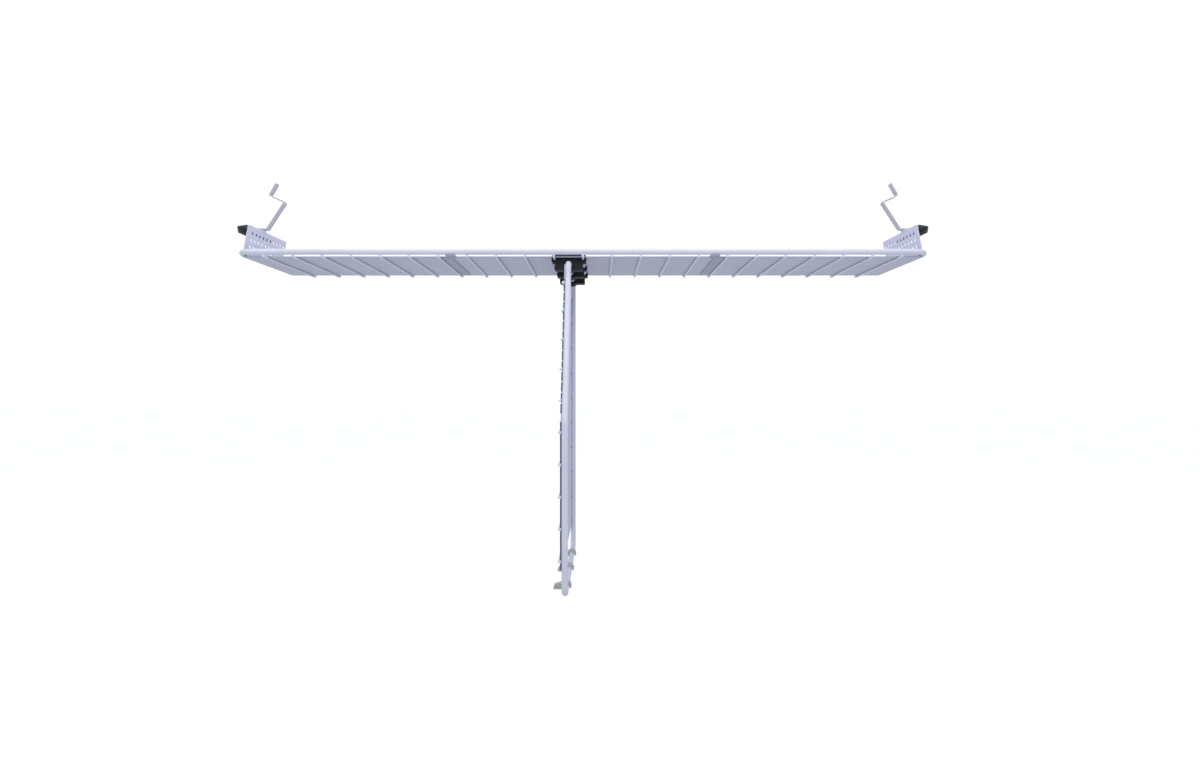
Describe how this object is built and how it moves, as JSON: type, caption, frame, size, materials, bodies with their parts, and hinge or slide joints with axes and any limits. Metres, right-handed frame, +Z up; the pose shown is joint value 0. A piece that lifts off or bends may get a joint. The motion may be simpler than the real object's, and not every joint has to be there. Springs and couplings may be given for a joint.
{
  "type": "wall mounted drying rack",
  "caption": "Wall mounted shelf rack of bent tube, wire rungs and sheet, with a wing that folds down below it and perforated end brackets with zig-zag straps.",
  "frame": {"origin": "on the wall plane, at the middle of the rack's length, at the height of the rack tubes' centres", "axes": "+X along the rack to the right, +Y into the wall (the rack stands out towards -Y), +Z up"},
  "size_m": [1.2016, 0.3158, 0.6947],
  "materials": {
    "tube_coat": "satin white powder coat with a slight lavender cast",
    "wire_coat": "satin white powder coat",
    "sheet_coat": "matt pale grey-lavender powder coat",
    "bracket_coat": "satin pale lavender powder coat",
    "black_plastic": "matt black moulded plastic",
    "grip_black": "matt near-black coating",
    "hook_plastic": "matt grey-green moulded plastic",
    "zinc_steel": "zinc plated steel"
  },
  "bodies": {
    "rack": {"rack_tube_left": "tube_coat", "rack_tube_right": "tube_coat", "shelf_sheet": "sheet_coat", "rack_rung_01": "wire_coat", "rack_rung_02": "wire_coat", "rack_rung_03": "wire_coat", "rack_rung_04": "wire_coat", "rack_rung_05": "wire_coat", "rack_rung_06": "wire_coat", "rack_rung_07": "wire_coat", "rack_rung_08": "wire_coat", "rack_rung_09": "wire_coat", "rack_rung_10": "wire_coat", "rack_rung_11": "wire_coat", "rack_rung_12": "wire_coat", "rack_rung_13": "wire_coat", "rack_rung_14": "wire_coat", "rack_rung_15": "wire_coat", "rack_rung_16": "wire_coat", "rack_rung_17": "wire_coat", "rack_rung_18": "wire_coat", "rack_rung_19": "wire_coat", "rack_rung_20": "wire_coat", "rack_rung_21": "wire_coat", "rack_rung_22": "wire_coat", "rack_rung_23": "wire_coat", "cross_strut_left": "sheet_coat", "wall_bracket_left": "bracket_coat", "end_bracket_left": "bracket_coat", "bracket_foot_left": "bracket_coat", "edge_grip_left": "grip_black", "strap_left": "bracket_coat", "cross_strut_right": "sheet_coat", "wall_bracket_right": "bracket_coat", "end_bracket_right": "bracket_coat", "bracket_foot_right": "bracket_coat", "edge_grip_right": "grip_black", "strap_right": "bracket_coat", "hinge_cap_front": "black_plastic", "hinge_block_front": "black_plastic", "hinge_cap_middle": "black_plastic", "hinge_block_middle": "black_plastic", "hinge_cap_back": "black_plastic", "hinge_block_back": "black_plastic"},
    "wing": {"wing_frame": "tube_coat", "wing_sheet": "sheet_coat", "wing_rung_01": "wire_coat", "wing_rung_02": "wire_coat", "wing_rung_03": "wire_coat", "wing_rung_04": "wire_coat", "wing_rung_05": "wire_coat", "wing_rung_06": "wire_coat", "wing_rung_07": "wire_coat", "wing_rung_08": "wire_coat", "wing_rung_09": "wire_coat", "wing_rung_10": "wire_coat"},
    "wing_hook_front": {"wing_hook_front": "hook_plastic"},
    "wing_hook_middle": {"wing_hook_middle": "hook_plastic"},
    "wing_hook_back": {"wing_hook_back": "hook_plastic"}
  },
  "joints": [
    {"name": "wing_fold", "type": "hinge", "parent": "rack", "child": "wing", "pos_m": [-0.025, -0.11, -0.0195], "axis": [0, -1, 0], "range_deg": [0, 90]},
    {"name": "hook_turn_front", "type": "hinge", "parent": "wing", "child": "wing_hook_front", "pos_m": [-0.025, -0.265, -0.556], "axis": [0, -1, 0], "range_deg": [-30, 30]},
    {"name": "hook_turn_middle", "type": "hinge", "parent": "wing", "child": "wing_hook_middle", "pos_m": [-0.025, -0.168, -0.556], "axis": [0, -1, 0], "range_deg": [-30, 30]},
    {"name": "hook_turn_back", "type": "hinge", "parent": "wing", "child": "wing_hook_back", "pos_m": [-0.025, -0.071, -0.556], "axis": [0, -1, 0], "range_deg": [-30, 30]}
  ]
}
